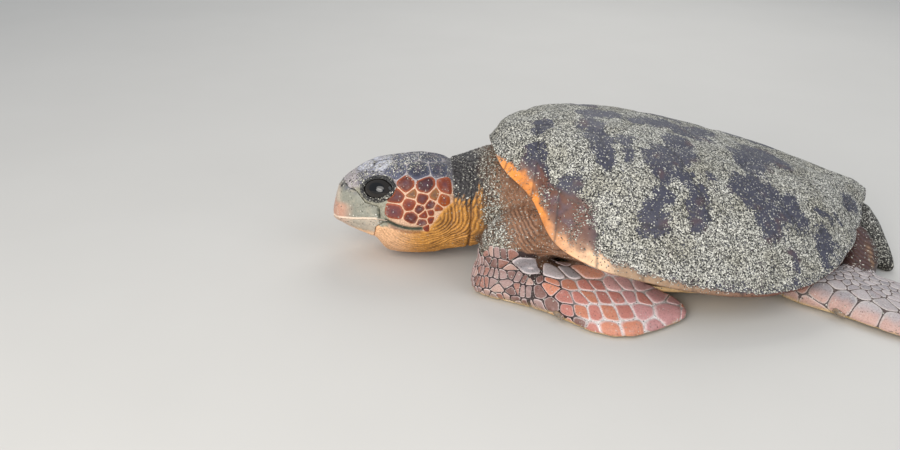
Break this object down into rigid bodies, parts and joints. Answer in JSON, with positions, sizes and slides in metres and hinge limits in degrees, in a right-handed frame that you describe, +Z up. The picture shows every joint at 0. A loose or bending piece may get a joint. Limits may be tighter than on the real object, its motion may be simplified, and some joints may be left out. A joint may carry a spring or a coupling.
{
  "type": "loggerhead turtle, life-size model",
  "caption": "Still life-size loggerhead sea turtle resting on its belly: domed shell, broad beaked head, flippers swept back.",
  "frame": {"origin": "on the floor, under the middle of the flat belly", "axes": "+Z up; head towards -X, tail towards +X; the animal's left side is -Y"},
  "size_m": [1.1722, 0.8288, 0.304],
  "materials": {
    "shell_horn": "slate to red-brown horn plates, orange front rim, dusted with grey sand",
    "belly_horn": "pale yellow horn plates, satin",
    "skin": "folded dry skin, orange-yellow at the throat, grey-brown above",
    "head_scales": "maroon cheek scales with pale seams, slate crown",
    "flipper_scales": "red-brown and grey scales with pale seams, matt",
    "beak_horn": "pale grey-green horn, pink-orange at the tip",
    "eye": "wet dark gloss",
    "claw_horn": "dark horn"
  },
  "bodies": {
    "root": {"carapace": "shell_horn", "plastron": "belly_horn", "trunk": "skin", "neck": "skin", "tail": "skin", "arm_left": "skin", "arm_right": "skin", "thigh_left": "skin", "thigh_right": "skin", "head": "head_scales", "flipper_front_left": "flipper_scales", "flipper_front_right": "flipper_scales", "flipper_hind_left": "flipper_scales", "flipper_hind_right": "flipper_scales", "beak_upper": "beak_horn", "beak_lower": "beak_horn", "eye_left": "eye", "eye_right": "eye", "claw_front_left": "claw_horn", "claw_front_right": "claw_horn", "claw_hind_left": "claw_horn", "claw_hind_right": "claw_horn"}
  },
  "joints": []
}
